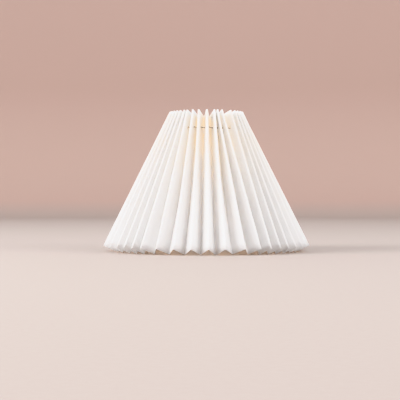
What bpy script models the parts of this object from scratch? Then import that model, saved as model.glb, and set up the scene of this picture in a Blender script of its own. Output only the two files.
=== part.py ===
"""A pleated table-lamp shade on a wire frame, in metres, with +Z up.

The origin is the middle of the rim, level with the sheet's lowest tips. The front is towards -Y. One
long strip is folded into pleats, lapped and taped into a cone at the back, and drawn in by a string
near its crown. Inside, two wire rings hold the cone, and a fitter on three spokes sits on the lamp.
"""

import math

import bmesh
import bpy
from mathutils import Vector

# The pleated sheet. A station is a place along the folds, from 0 at the rim to 1 at the crown.
PLEATS = 42
RIM_RADIUS = 0.125  # the ridge folds, at the rim
CROWN_RADIUS = 0.0445  # the ridge folds, at the crown
SHEET_HEIGHT = 0.1809  # along a fold
PANEL_WIDTH = 0.0172  # of sheet, from one fold to the next
SHEET_THICKNESS = 0.00045
FOLD_RADIUS = 0.0007  # to the middle of the sheet
SEAM_AZIMUTH = math.radians(90)  # the first ridge, at the back

# How far the ridges near the front have crept round from even spacing, in degrees towards +X, as
# (at the rim, at the crown). The middle pair is the front ridge.
FRONT_CREEP_DEG = (
    (3.2, -0.7),
    (1.6, -0.7),
    (-0.4, -1.9),
    (-2.6, -2.3),
    (-1.4, -5.2),
    (-0.3, -4.4),
    (0.4, -3.6),
    (0.9, 0.7),
    (1.0, 3.9),
    (2.9, 0.2),
    (3.3, -1.0),
    (1.5, 6.4),
    (-0.4, 7.3),
    (-2.6, 6.3),
    (-3.8, 7.0),
)
BACK_CREEP_DEG = 1.1  # the most that a ridge at the back strays
BACK_CREEP_TURN = 2.3  # radians of its wave for each ridge

# The string that draws the crown in, through a hole in every panel.
STRING_DIAMETER = 0.0015
STRING_SIDES = 6
HOLE_DIAMETER = 0.0032
HOLE_BELOW_CROWN = 0.0200  # along the panel, to the hole's middle
HOLE_CELL = 0.0290  # the stretch of panel whose faces fan out from the hole
HOLE_SIDES = 8
KNOT_RIDGE = 1  # the ridge that the knot hangs inside, counted from the seam
KNOT_SIZE = (0.0048, 0.0042, 0.0040)
KNOT_INSIDE_RING = 0.0022  # from the top ring's wire in to the knot's middle
STRAND_SPACING = 0.0019  # between the two strands that reach the knot
TAIL_LENGTH = 0.0140
TAIL_SPREAD = 0.0030

# The taped lap.
TAPE_THICKNESS = 0.0002
PLAIN_ROWS = 2  # rows of faces below the holes' cells

# The wire frame.
WIRE_DIAMETER = 0.0030
LOWER_RING_STATION = 0.150
TOP_RING_BELOW_HOLES = 0.0002  # along a fold, from the holes' middle to the top of the wire
RIB_OVERRUN = 0.0030  # past each ring
RIB_AZIMUTHS_DEG = (60, 180, 300)
SPOKE_AZIMUTHS_DEG = (0, 120, 240)
SPOKE_LEVEL_RUN = 0.0085  # how far a spoke stays level at each end
WIRE_SIDES = 8
LOWER_RING_SIDES = 56
TOP_RING_SIDES = 36

# The fitter and the reducer that drops into it.
FITTER_HEIGHT = 0.0380  # its underside, above the rim's tips
FITTER_BORE = 0.0420
FITTER_WIDTH = 0.0100  # from its bore to its edge
FITTER_THICKNESS = 0.0015
REDUCER_BORE = 0.0290
REDUCER_FLANGE_LAP = 0.0035  # of its flange onto the fitter, past the bore
REDUCER_FLANGE_THICKNESS = 0.0015
SPOKE_TO_FLANGE = 0.0010
TURNED_SIDES = 48

GAP = 0.0003  # between pieces that touch

# Sizes that follow from those.
LAP = SHEET_THICKNESS + TAPE_THICKNESS + 2 * GAP
SIN_SLOPE = (RIM_RADIUS - CROWN_RADIUS) / SHEET_HEIGHT  # the cone's half angle
COS_SLOPE = math.sqrt(1 - SIN_SLOPE**2)
LAID_TOGETHER = WIRE_DIAMETER + GAP  # between the middles of two wires that cross
KNOT_INSIDE_FOLDS = WIRE_DIAMETER + KNOT_INSIDE_RING
TOP_RING_STATION = 1 - (HOLE_BELOW_CROWN + TOP_RING_BELOW_HOLES + WIRE_DIAMETER / 2) / SHEET_HEIGHT
FITTER_RADIUS = FITTER_BORE / 2 + FITTER_WIDTH
FLANGE_RADIUS = FITTER_BORE / 2 + REDUCER_FLANGE_LAP


def material(name, colour, roughness, metallic=0.0):
    """A Principled material."""
    made = bpy.data.materials.new(name)
    made.use_nodes = True
    shader = made.node_tree.nodes["Principled BSDF"]
    shader.inputs["Base Color"].default_value = (*colour, 1)
    shader.inputs["Roughness"].default_value = roughness
    shader.inputs["Metallic"].default_value = metallic
    return made


def add_object(name, shape, finish, sharp_deg=35):
    """An object in the scene from a bmesh, with its faces pointing out."""
    bmesh.ops.recalc_face_normals(shape, faces=shape.faces)
    mesh = bpy.data.meshes.new(name)
    shape.to_mesh(mesh)
    shape.free()
    mesh.shade_smooth()
    mesh.set_sharp_from_angle(angle=math.radians(sharp_deg))
    mesh.materials.append(finish)
    made = bpy.data.objects.new(name, mesh)
    bpy.context.collection.objects.link(made)
    return made


def around(azimuth, radius, height):
    """The point at that azimuth, radius and height."""
    return Vector((radius * math.cos(azimuth), radius * math.sin(azimuth), height))


# ---- The pleated sheet ----


def creep(ridge, end):
    """How far a ridge has crept from even spacing, in radians, at the rim (end 0) or crown (end 1)."""
    edge = len(FRONT_CREEP_DEG) // 2
    from_front = ridge - PLEATS // 2
    if abs(from_front) <= edge:
        return math.radians(FRONT_CREEP_DEG[from_front + edge][end])
    at_edge = FRONT_CREEP_DEG[-1 if from_front > 0 else 0][end]
    way = (abs(from_front) - edge) / (PLEATS // 2 - edge)  # 0 at the side, 1 at the seam
    fade = (1 + math.cos(math.pi * way)) / 2
    wave = BACK_CREEP_DEG * math.sin(BACK_CREEP_TURN * (ridge + 3 * end)) * math.sin(math.pi * way)
    return math.radians(at_edge * fade + wave)


def ridge_point(ridge, station):
    """Where a ridge fold is: a straight line from the rim to the crown."""
    even = SEAM_AZIMUTH + 2 * math.pi * ridge / PLEATS
    rim = around(even + creep(ridge, 0), RIM_RADIUS, 0)
    crown = around(even + creep(ridge, 1), CROWN_RADIUS, SHEET_HEIGHT * COS_SLOPE)
    return rim.lerp(crown, station)


def steepness(half_pitch):
    """The angle that a panel makes with the line from one ridge to the next.

    From a ridge to a valley the sheet bends by this angle a round one fold of radius r, runs
    straight, and bends back round the next fold, and so its width w spans the half pitch:
    2 r sin(a) + (w - 2 r a) cos(a). That falls as a grows, and halving the interval finds a.
    """
    low, high = 0.0, math.pi / 2
    for _ in range(40):
        middle = (low + high) / 2
        straight = PANEL_WIDTH - 2 * FOLD_RADIUS * middle
        if 2 * FOLD_RADIUS * math.sin(middle) + straight * math.cos(middle) > half_pitch:
            low = middle
        else:
            high = middle
    return low


def pleat_section(first, second):
    """The sheet across one pleat, from one ridge point to the next.

    Returns its points (ridge fold's end, valley fold's start, valley fold, valley fold's end, next
    ridge fold's start), all at the middle of the sheet. Inwards is square to the cone's slope.
    """
    span = second - first
    across = span.normalized()
    angle = steepness(span.length / 2)
    middle = (first + second) / 2
    out = Vector((middle.x, middle.y, 0)).normalized()
    inward = -(out * COS_SLOPE + Vector((0, 0, 1)) * SIN_SLOPE)
    bend_across = FOLD_RADIUS * math.sin(angle)
    bend_in = FOLD_RADIUS * (1 - math.cos(angle))
    straight = PANEL_WIDTH - 2 * FOLD_RADIUS * angle
    valley = middle + inward * (2 * bend_in + straight * math.sin(angle))
    return (
        first + across * bend_across + inward * bend_in,
        valley - across * bend_across - inward * bend_in,
        valley,
        valley + across * bend_across - inward * bend_in,
        second - across * bend_across + inward * bend_in,
    )


def lap_shift(station):
    """From the first panel to the flap that lies inside it."""
    here = pleat_section(ridge_point(0, station), ridge_point(1, station))
    across = here[1] - here[0]
    upwards = ridge_point(0, 1) - ridge_point(0, 0)
    return -LAP * across.cross(upwards).normalized()


def strip_row(station):
    """The strip's points at one station, from the first panel's free edge round to the flap's.

    The points of panel p are at 3 p and 3 p + 1, its fold's apex follows them, and the last panel
    is the flap.
    """
    shift = lap_shift(station)
    ridges = [ridge_point(k, station) for k in range(PLEATS)]
    ridges.append(ridges[0] + shift)
    row = []
    for k in range(PLEATS):
        row += [*pleat_section(ridges[k], ridges[k + 1]), ridges[k + 1]]
    return row + [row[0] + shift, row[1] + shift]


def stations():
    """The rows of the sheet's faces: even ones, then the cells with the holes."""
    plain = 1 - HOLE_CELL / SHEET_HEIGHT
    return [plain * i / PLAIN_ROWS for i in range(PLAIN_ROWS + 1)] + [1.0]


def mitres(row, rise):
    """For each point of a row, the step to the sheet's outer side at unit distance.

    Between two faces with normals m and n that step is (m + n) / (1 + m.n).
    """
    faces = [(b - a).cross(rise_a + rise_b).normalized()
             for a, b, rise_a, rise_b in zip(row, row[1:], rise, rise[1:])]
    before, after = [faces[0], *faces], [*faces, faces[-1]]
    return [(m + n) / (1 + m.dot(n)) for m, n in zip(before, after)]


def sheet_grid():
    """(points, mitres) of the whole strip, row by row, with the rim's lowest tips at height 0."""
    rows = [strip_row(s) for s in stations()]
    rise = [crown - rim for rim, crown in zip(rows[0], rows[-1])]
    steps = [mitres(row, rise) for row in rows]
    lowest = min(p.z - abs(n.z) * SHEET_THICKNESS / 2 for p, n in zip(rows[0], steps[0]))
    return [[p - Vector((0, 0, lowest)) for p in row] for row in rows], steps


def panel_columns():
    """The column where each panel starts, in order along the strip."""
    return [3 * p for p in range(2 * PLEATS + 1)]


def hole_ring(rows, column):
    """(centre, unit normal, ring of points) of the hole in the panel that starts at a column."""
    below, above = rows[-2], rows[-1]
    way = 1 - HOLE_BELOW_CROWN / HOLE_CELL
    left = below[column].lerp(above[column], way)
    right = below[column + 1].lerp(above[column + 1], way)
    across = (right - left).normalized()
    rise = (above[column] - below[column]) + (above[column + 1] - below[column + 1])
    normal = across.cross(rise).normalized()
    up = normal.cross(across)
    centre = (left + right) / 2
    turns = [2 * math.pi * i / HOLE_SIDES for i in range(HOLE_SIDES)]
    ring = [centre + HOLE_DIAMETER / 2 * (across * math.cos(t) + up * math.sin(t)) for t in turns]
    return centre, normal, ring


def fan(corners, ring):
    """The triangles between a cell's four corners and the ring of a hole in it."""
    quarter = HOLE_SIDES // 4
    faces = []
    for side in range(4):  # the corner between the ring's points at side and side + 1 quarters
        corner = corners[(side + 2) % 4]
        for i in range(quarter):
            first = side * quarter + i
            faces.append((corner, ring[(first + 1) % HOLE_SIDES], ring[first]))
        faces.append((corners[(side + 1) % 4], corner, ring[side * quarter]))
    return faces


def pleated_skirt(rows, steps, finish):
    """The strip: its outer and inner sides with a punched hole in every panel, and its edges."""
    shape = bmesh.new()
    holed = set(panel_columns())
    last_row, last = len(rows) - 1, len(rows[0]) - 1
    sides = []
    for way in (1, -1):
        half = way * SHEET_THICKNESS / 2
        grid = [[shape.verts.new(p + n * half) for p, n in zip(row, step)]
                for row, step in zip(rows, steps)]
        rings = {}
        for column in holed:
            _, normal, ring = hole_ring(rows, column)
            rings[column] = [shape.verts.new(p + normal * half) for p in ring]
        for r in range(last_row):
            for c in range(last):
                cell = (grid[r][c], grid[r][c + 1], grid[r + 1][c + 1], grid[r + 1][c])
                if r < last_row - 1 or c not in holed:
                    shape.faces.new((cell[0], cell[1], cell[2]))
                    shape.faces.new((cell[0], cell[2], cell[3]))
                    continue
                for face in fan(cell, rings[c]):
                    shape.faces.new(face)
        sides.append((grid, rings))
    (outer, outer_rings), (inner, inner_rings) = sides
    for r in (0, last_row):
        for c in range(last):
            shape.faces.new((outer[r][c], outer[r][c + 1], inner[r][c + 1], inner[r][c]))
    for c in (0, last):
        for r in range(last_row):
            shape.faces.new((outer[r][c], outer[r + 1][c], inner[r + 1][c], inner[r][c]))
    for column in holed:
        ring, back = outer_rings[column], inner_rings[column]
        for i in range(HOLE_SIDES):
            j = (i + 1) % HOLE_SIDES
            shape.faces.new((ring[i], ring[j], back[j], back[i]))
    return add_object("pleated_skirt", shape, finish, sharp_deg=60)


def seam_tape(rows, steps, finish):
    """The tape between the first panel and the flap, from the rim to below the string."""
    shape = bmesh.new()
    layers = []
    for way in (1, -1):
        layer = []
        for row, step in zip(rows[:-1], steps):
            middle = [(row[i] + row[len(row) - 2 + i]) / 2 for i in (0, 1)]
            normal = (row[0] - row[-2]).normalized()
            layer.append([shape.verts.new(p + normal * way * TAPE_THICKNESS / 2) for p in middle])
        layers.append(layer)
    front, back = layers
    for r in range(len(front) - 1):
        for layer in layers:
            shape.faces.new((layer[r][0], layer[r][1], layer[r + 1][1]))
            shape.faces.new((layer[r][0], layer[r + 1][1], layer[r + 1][0]))
        for c in (0, 1):
            shape.faces.new((front[r][c], front[r + 1][c], back[r + 1][c], back[r][c]))
    for r in (0, len(front) - 1):
        shape.faces.new((front[r][0], front[r][1], back[r][1], back[r][0]))
    return add_object("seam_tape", shape, finish)


# ---- Wires, strings and turned pieces ----


def sweep(path, diameter, closed=False, sides=WIRE_SIDES):
    """A bmesh tube along a path of points, turned as little as it can be from point to point."""
    count = len(path)
    shape = bmesh.new()
    rings, side = [], None
    for i, point in enumerate(path):
        before = path[i - 1] if i or closed else point
        after = path[(i + 1) % count] if i < count - 1 or closed else point
        along = (after - before).normalized()
        if side is None:
            side = along.orthogonal()
        side = (side - along * side.dot(along)).normalized()
        other = along.cross(side)
        turns = [2 * math.pi * (s + 0.5) / sides for s in range(sides)]
        rings.append([shape.verts.new(point + diameter / 2 * (side * math.cos(t) + other * math.sin(t)))
                      for t in turns])
    for i in range(count if closed else count - 1):
        ring, following = rings[i], rings[(i + 1) % count]
        for s in range(sides):
            t = (s + 1) % sides
            shape.faces.new((ring[s], ring[t], following[t], following[s]))
    if not closed:
        shape.faces.new(rings[0])
        shape.faces.new(rings[-1])
    return shape


def turned(profile, sides=TURNED_SIDES):
    """A bmesh of a closed outline of (radius, height) points, turned about +Z."""
    shape = bmesh.new()
    rings = [[shape.verts.new(around(2 * math.pi * s / sides, radius, height)) for s in range(sides)]
             for radius, height in profile]
    for ring, following in zip(rings, rings[1:] + rings[:1]):
        for s in range(sides):
            t = (s + 1) % sides
            shape.faces.new((ring[s], ring[t], following[t], following[s]))
    return shape


def eased(way):
    """From 0 to 1, level at both ends."""
    return way * way * (3 - 2 * way)


# ---- The string ----


def string_and_knot(rows, finish):
    """One string through every hole, its ends tied inside the shade and left hanging."""
    centres = [hole_ring(rows, column)[0] for column in panel_columns()]
    start = 2 * KNOT_RIDGE
    flap_hole, first_hole = centres[-1], centres[0]
    lapped = [*centres[start:-1], flap_hole, first_hole, *centres[1:start]]
    radius = min(math.hypot(p.x, p.y) for p in valley_folds(rows, TOP_RING_STATION)) - KNOT_INSIDE_FOLDS
    mouth = (lapped[0] + lapped[-1]) / 2
    azimuth = math.atan2(mouth.y, mouth.x)
    knot = around(azimuth, radius, mouth.z)
    strand = Vector((0, 0, STRAND_SPACING / 2))
    opening = around(azimuth, radius + KNOT_INSIDE_FOLDS + FOLD_RADIUS, mouth.z)
    path = [knot + strand, opening + strand, mouth + strand, *lapped,
            mouth - strand, opening - strand, knot - strand]
    whole = add_object("drawstring", sweep(path, STRING_DIAMETER, sides=STRING_SIDES), finish)

    across = Vector((-math.sin(azimuth), math.cos(azimuth), 0))
    blob = bmesh.new()
    bmesh.ops.create_uvsphere(blob, u_segments=12, v_segments=8, radius=0.5)
    for vert in blob.verts:
        x, y, z = (c * size for c, size in zip(vert.co, KNOT_SIZE))
        vert.co = knot + across * x + around(azimuth, y, z)
    added = [add_object("knot_blob", blob, finish)]
    for name, way in (("knot_tail_left", -1), ("knot_tail_right", 1)):
        root = knot + across * way * STRING_DIAMETER
        bend = root + across * way * TAIL_SPREAD / 2 - Vector((0, 0, TAIL_LENGTH / 3))
        end = root + across * way * TAIL_SPREAD / 2 - Vector((0, 0, TAIL_LENGTH))
        tail = sweep([root, bend, end], STRING_DIAMETER, sides=STRING_SIDES)
        added.append(add_object(name, tail, finish))
    for piece in added:
        union = whole.modifiers.new(piece.name, "BOOLEAN")
        union.operation = "UNION"
        union.object = piece
        piece.hide_render = True
        piece.display_type = "WIRE"
    return whole


# ---- The wire frame ----


def valley_folds(rows, station):
    """The valley folds' points at a station of the sheet."""
    lift = rows[0][3] - strip_row(0)[3]  # what puts the rim's tips at height 0
    row = strip_row(station)
    return [row[c] + lift for c in range(2, len(row), 6)]


def ring_place(rows, station):
    """(radius, height) of a wire ring that touches the valley folds from inside.

    A fold's distance from the axis, square to the slope, is radius cos + height sin.
    """
    folds = valley_folds(rows, station)
    height = sum(p.z for p in folds) / len(folds)
    nearest = min(math.hypot(p.x, p.y) * COS_SLOPE + p.z * SIN_SLOPE for p in folds)
    reach = nearest - SHEET_THICKNESS / 2 - GAP - WIRE_DIAMETER / 2
    return (reach - height * SIN_SLOPE) / COS_SLOPE, height


def wire_ring(name, place, sides, finish):
    """A closed ring of wire."""
    radius, height = place
    path = [around(2 * math.pi * s / sides, radius, height) for s in range(sides)]
    return add_object(name, sweep(path, WIRE_DIAMETER, closed=True), finish)


def rib_path(lower, top, azimuth):
    """A straight wire laid inside both rings."""
    ends = [around(azimuth, radius, height) for radius, height in (lower, top)]
    along = (ends[1] - ends[0]).normalized()
    sideways = Vector((-math.sin(azimuth), math.cos(azimuth), 0))
    inside = along.cross(sideways).normalized() * LAID_TOGETHER
    inside *= -1 if inside.dot(around(azimuth, 1, 0)) > 0 else 1
    return [ends[0] + inside - along * RIB_OVERRUN, ends[1] + inside + along * RIB_OVERRUN]


def spoke_path(lower, azimuth):
    """A wire from on top of the fitter's margin, level, down and level again under the lower ring."""
    start = FLANGE_RADIUS + SPOKE_TO_FLANGE
    end = lower[0] + WIRE_DIAMETER / 2
    on_fitter = FITTER_HEIGHT + FITTER_THICKNESS + GAP + WIRE_DIAMETER / 2
    under_ring = lower[1] - LAID_TOGETHER
    first, last = start + SPOKE_LEVEL_RUN, end - SPOKE_LEVEL_RUN
    path = [(start, on_fitter)]
    steps = 8
    for i in range(steps + 1):
        way = i / steps
        height = on_fitter + (under_ring - on_fitter) * eased(way)
        path.append((first + (last - first) * way, height))
    path.append((end, under_ring))
    return [around(azimuth, radius, height) for radius, height in path]


def wire_frame(rows, finish):
    """Two rings, the ribs between them and the spokes that carry the fitter."""
    lower = ring_place(rows, LOWER_RING_STATION)
    top = ring_place(rows, TOP_RING_STATION)
    wire_ring("lower_ring", lower, LOWER_RING_SIDES, finish)
    wire_ring("top_ring", top, TOP_RING_SIDES, finish)
    for number, degrees in enumerate(RIB_AZIMUTHS_DEG, 1):
        path = rib_path(lower, top, math.radians(degrees))
        add_object(f"rib_{number}", sweep(path, WIRE_DIAMETER), finish)
    for number, degrees in enumerate(SPOKE_AZIMUTHS_DEG, 1):
        path = spoke_path(lower, math.radians(degrees))
        add_object(f"spoke_{number}", sweep(path, WIRE_DIAMETER), finish)


def fitter_ring(finish):
    """The flat washer that seats on a large lamp holder."""
    bore, edge = FITTER_BORE / 2, FITTER_RADIUS
    low, high = FITTER_HEIGHT, FITTER_HEIGHT + FITTER_THICKNESS
    add_object("fitter_ring", turned([(bore, low), (edge, low), (edge, high), (bore, high)]), finish)


def reducer_ring(finish):
    """The stepped ring that drops into the fitter for a small lamp holder, flush underneath.

    It hangs from an empty on its own axis, along which it lifts out.
    """
    bore, boss, flange = REDUCER_BORE / 2, FITTER_BORE / 2 - GAP, FLANGE_RADIUS
    step = FITTER_THICKNESS + GAP
    high = step + REDUCER_FLANGE_THICKNESS
    outline = [(bore, 0), (boss, 0), (boss, step), (flange, step), (flange, high), (bore, high)]
    ring = add_object("reducer_ring", turned(outline), finish)
    lift = bpy.data.objects.new("reducer_lift", None)
    lift.location = (0, 0, FITTER_HEIGHT)
    bpy.context.collection.objects.link(lift)
    ring.parent = lift


def main():
    """Builds the shade in an empty scene."""
    for old in list(bpy.data.objects):
        bpy.data.objects.remove(old)
    sheet = material("pleated_sheet", (0.90, 0.88, 0.84), 0.75)
    tape = material("clear_tape", (0.86, 0.83, 0.74), 0.35)
    string = material("cotton_string", (0.72, 0.66, 0.57), 0.9)
    wire = material("white_wire", (0.86, 0.85, 0.82), 0.4)
    plastic = material("white_plastic", (0.88, 0.87, 0.84), 0.45)
    rows, steps = sheet_grid()
    pleated_skirt(rows, steps, sheet)
    seam_tape(rows, steps, tape)
    string_and_knot(rows, string)
    wire_frame(rows, wire)
    fitter_ring(wire)
    reducer_ring(plastic)


main()
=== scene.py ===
"""A pleated table-lamp shade, dressed around its frame of solids.

The sheet, its tape and string, the wire frame, the fitter and the reducer are surfaces worked out
with numpy. All lengths are in metres, +Z is up and -Y is the front.
"""

import logging
import math
from dataclasses import dataclass, field
from enum import Enum

import bpy
import numpy as np
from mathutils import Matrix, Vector


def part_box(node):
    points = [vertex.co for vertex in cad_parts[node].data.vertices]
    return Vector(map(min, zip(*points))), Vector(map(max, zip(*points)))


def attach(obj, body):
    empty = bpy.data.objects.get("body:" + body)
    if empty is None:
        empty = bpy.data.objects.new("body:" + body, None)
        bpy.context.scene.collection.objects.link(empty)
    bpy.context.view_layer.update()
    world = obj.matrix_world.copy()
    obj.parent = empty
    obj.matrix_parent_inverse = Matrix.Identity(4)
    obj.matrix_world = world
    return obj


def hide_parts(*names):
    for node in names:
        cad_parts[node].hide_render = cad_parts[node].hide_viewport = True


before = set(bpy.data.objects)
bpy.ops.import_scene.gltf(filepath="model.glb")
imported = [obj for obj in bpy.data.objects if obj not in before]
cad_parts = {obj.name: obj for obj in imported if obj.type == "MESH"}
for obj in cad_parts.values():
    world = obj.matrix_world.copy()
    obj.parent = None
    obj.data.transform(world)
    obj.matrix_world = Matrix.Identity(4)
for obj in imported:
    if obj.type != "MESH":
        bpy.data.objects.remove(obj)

LOG = logging.getLogger("shade")
MM = 0.001
TAU = 2 * math.pi
UP = np.array((0.0, 0.0, 1.0))


class Body(Enum):
    """The bodies that a piece can ride on."""

    SHADE = "shade"
    REDUCER = "reducer"


class Slot(Enum):
    """The material slots."""

    SHEET = "pleated_sheet"
    TAPE = "clear_tape"
    STRING = "cotton_string"
    WIRE = "white_wire"
    PLASTIC = "white_plastic"


# ---------------------------------------------------------------------------------------------
# Helpers: arrays, meshes and material graphs
# ---------------------------------------------------------------------------------------------


def unit(vectors: np.ndarray) -> np.ndarray:
    """The vectors over their own lengths, along the last axis."""
    return vectors / np.linalg.norm(vectors, axis=-1, keepdims=True)


def eased(way: np.ndarray) -> np.ndarray:
    """From 0 to 1 and level at both ends: 3 w^2 - 2 w^3, with w held between 0 and 1."""
    held = np.clip(way, 0, 1)
    return held * held * (3 - 2 * held)


def around(azimuth: np.ndarray, radius: np.ndarray, height: np.ndarray) -> np.ndarray:
    """Points from cylinder coordinates: (r cos a, r sin a, h), whatever shapes broadcast."""
    turned = np.broadcast_arrays(radius * np.cos(azimuth), radius * np.sin(azimuth), height)
    return np.stack(turned, axis=-1)


def facing(azimuth: float) -> tuple[np.ndarray, np.ndarray]:
    """(outwards, sideways) as level unit vectors at an azimuth, sideways being counter-clockwise."""
    return around(azimuth, 1.0, 0.0), np.array((-math.sin(azimuth), math.cos(azimuth), 0.0))


def gone_along(path: np.ndarray) -> np.ndarray:
    """How far along a path each of its points is: the sum of the steps before it."""
    return np.concatenate([[0.0], np.cumsum(np.linalg.norm(np.diff(path, axis=0), axis=1))])


def grid_faces(
    rows: int, columns: int, wrap_rows: bool = False, wrap_columns: bool = False
) -> np.ndarray:
    """The quads of a grid of points numbered row by row.

    Args:
        rows: How many rows of points there are.
        columns: How many points a row has.
        wrap_rows: Whether the last row joins the first.
        wrap_columns: Whether a row's last point joins its first.

    Returns:
        An array with four point numbers to a face.
    """
    r = np.arange(rows if wrap_rows else rows - 1)[:, None]
    c = np.arange(columns if wrap_columns else columns - 1)[None, :]
    after_r, after_c = (r + 1) % rows, (c + 1) % columns
    corners = (r * columns + c, r * columns + after_c, after_r * columns + after_c, after_r * columns + c)
    return np.stack([corner.ravel() for corner in corners], axis=-1)


def make_piece(
    name: str, points: np.ndarray, faces: list | np.ndarray, sharp_deg: float = 40.0
) -> bpy.types.Object:
    """A mesh object at the origin with smooth faces.

    Args:
        name: The piece's name.
        points: Its points, in any grid shape that ends in 3.
        faces: Point numbers, one row or list to a face.
        sharp_deg: Edges that bend by more than this stay sharp.

    Returns:
        The new object, linked into the scene.
    """
    mesh = bpy.data.meshes.new(name)
    faces = faces.tolist() if isinstance(faces, np.ndarray) else faces
    mesh.from_pydata(points.reshape(-1, 3).tolist(), [], faces)
    mesh.validate()
    mesh.shade_smooth()
    mesh.set_sharp_from_angle(angle=math.radians(sharp_deg))
    piece = bpy.data.objects.new(name, mesh)
    bpy.context.scene.collection.objects.link(piece)
    return piece


def join_grids(parts: list[tuple[np.ndarray, list]]) -> tuple[np.ndarray, list]:
    """Several surfaces as one, with the point numbers moved on.

    Args:
        parts: Each surface's (points, faces).

    Returns:
        (points, faces) of them all.
    """
    points, faces, start = [], [], 0
    for part_points, part_faces in parts:
        flat = part_points.reshape(-1, 3)
        points.append(flat)
        faces += [[start + i for i in face] for face in part_faces]
        start += len(flat)
    return np.concatenate(points), faces


def tube(path: np.ndarray, radius: np.ndarray, sides: int, closed: bool = False) -> tuple[np.ndarray, list]:
    """A tube along a path, with its ends closed.

    Each ring is square to the path. Its first direction is carried from ring to ring with as little
    turn as it can, and on a closed path what turn is left over is spread evenly. A point of a ring
    is path + r(t, a) (cos a side + sin a other).

    Args:
        path: The centres of the rings, (n, 3).
        radius: One radius, or (n, sides) of them.
        sides: How many points a ring has.
        closed: Whether the last ring joins the first.

    Returns:
        (points, faces).
    """
    count = len(path)
    before, after = np.roll(path, 1, axis=0), np.roll(path, -1, axis=0)
    if not closed:
        before[0], after[-1] = path[0], path[-1]
    along = unit(after - before)
    side = np.empty_like(path)
    start = np.cross(along[0], (0.0, 0.0, 1.0))
    side[0] = unit(start if np.linalg.norm(start) > 0.1 else np.cross(along[0], (1.0, 0.0, 0.0)))
    for i in range(1, count):
        side[i] = unit(side[i - 1] - along[i] * (side[i - 1] @ along[i]))
    other = np.cross(along, side)
    angle = np.broadcast_to(np.arange(sides) * TAU / sides, (count, sides)).copy()
    if closed:
        last = unit(side[-1] - along[0] * (side[-1] @ along[0]))
        left_over = math.atan2(last @ other[0], last @ side[0])
        angle -= left_over * np.arange(count)[:, None] / count
    reach = np.broadcast_to(radius, (count, sides))[..., None]
    ring = np.cos(angle)[..., None] * side[:, None] + np.sin(angle)[..., None] * other[:, None]
    points = path[:, None] + reach * ring
    faces = grid_faces(count, sides, wrap_rows=closed, wrap_columns=True).tolist()
    if not closed:
        faces += [list(range(sides))[::-1], list(range((count - 1) * sides, count * sides))]
    return points, faces


def turned(profile: np.ndarray, sides: int) -> tuple[np.ndarray, np.ndarray]:
    """A closed outline turned about +Z: (r cos a, r sin a, z) for each point of the outline.

    Args:
        profile: (radius, height) pairs, going round so that the faces point out.
        sides: Steps in a full turn.

    Returns:
        (points, faces).
    """
    azimuth = np.arange(sides)[:, None] * TAU / sides
    points = around(azimuth, profile[None, :, 0], profile[None, :, 1])
    return points, grid_faces(sides, len(profile), wrap_rows=True, wrap_columns=True)


def rounded(corners: list[tuple[float, float]], radius: float, steps: int = 4) -> np.ndarray:
    """An outline with every corner rounded.

    At a corner the outline leaves one edge and joins the next at the same distance, and between
    them it follows the curve (1-t)^2 a + 2 t (1-t) corner + t^2 b.

    Args:
        corners: The outline's corners, in order.
        radius: How far from a corner the rounding starts.
        steps: Stretches along each rounding.

    Returns:
        The outline's points, (n, 2).
    """
    here = np.array(corners, float)
    back = here + unit(np.roll(here, 1, axis=0) - here) * radius
    on = here + unit(np.roll(here, -1, axis=0) - here) * radius
    t = np.linspace(0, 1, steps + 1)[None, :, None]
    curve = (1 - t) ** 2 * back[:, None] + 2 * t * (1 - t) * here[:, None] + t**2 * on[:, None]
    return curve.reshape(-1, 2)


def smooth_path(points: np.ndarray, spacing: float) -> np.ndarray:
    """A smooth curve through the points, with points about that far apart.

    Between points b and c, with a before and d after, it is the Catmull-Rom curve
    (2b + (c-a) t + (2a-5b+4c-d) t^2 + (3b-a-3c+d) t^3) / 2.

    Args:
        points: What the curve goes through, (n, 3).
        spacing: The distance between the points returned.

    Returns:
        The curve's points, (m, 3).
    """
    padded = np.concatenate([2 * points[:1] - points[1:2], points, 2 * points[-1:] - points[-2:-1]])
    a, b, c, d = (padded[i : len(padded) - 3 + i][:, None] for i in range(4))
    t = np.linspace(0, 1, 24, endpoint=False)[None, :, None]
    curve = (2 * b + (c - a) * t + (2 * a - 5 * b + 4 * c - d) * t**2 + (3 * b - a - 3 * c + d) * t**3) / 2
    fine = np.concatenate([curve.reshape(-1, 3), points[-1:]])
    gone = gone_along(fine)
    at = np.linspace(0, gone[-1], max(2, round(gone[-1] / spacing) + 1))
    return np.stack([np.interp(at, gone, fine[:, k]) for k in range(3)], axis=-1)


def add_attribute(piece: bpy.types.Object, name: str, values: np.ndarray) -> None:
    """A number for each point of a piece, which its material reads by name."""
    attribute = piece.data.attributes.new(name, "FLOAT", "POINT")
    attribute.data.foreach_set("value", np.ascontiguousarray(values, dtype=np.float32).ravel())


def add_uv(piece: bpy.types.Object, name: str, across: np.ndarray, along: np.ndarray) -> None:
    """Adds a UV map from two numbers for each point of a piece.

    Args:
        piece: The piece.
        name: The map's name.
        across: The first number of each point.
        along: The second number of each point.
    """
    layer = piece.data.uv_layers.new(name=name)
    corner = np.empty(len(piece.data.loops), np.int32)
    piece.data.loops.foreach_get("vertex_index", corner)
    layer.data.foreach_set("uv", np.stack([across.ravel()[corner], along.ravel()[corner]], axis=-1).ravel())


def solidify(piece: bpy.types.Object, thickness: float) -> None:
    """Gives a surface its thickness, half to each side.

    Args:
        piece: The surface.
        thickness: How thick it gets.
    """
    wall = piece.modifiers.new("thickness", "SOLIDIFY")
    wall.thickness = thickness
    wall.offset = 0.0
    wall.use_even_offset = True
    wall.use_quality_normals = True


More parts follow.
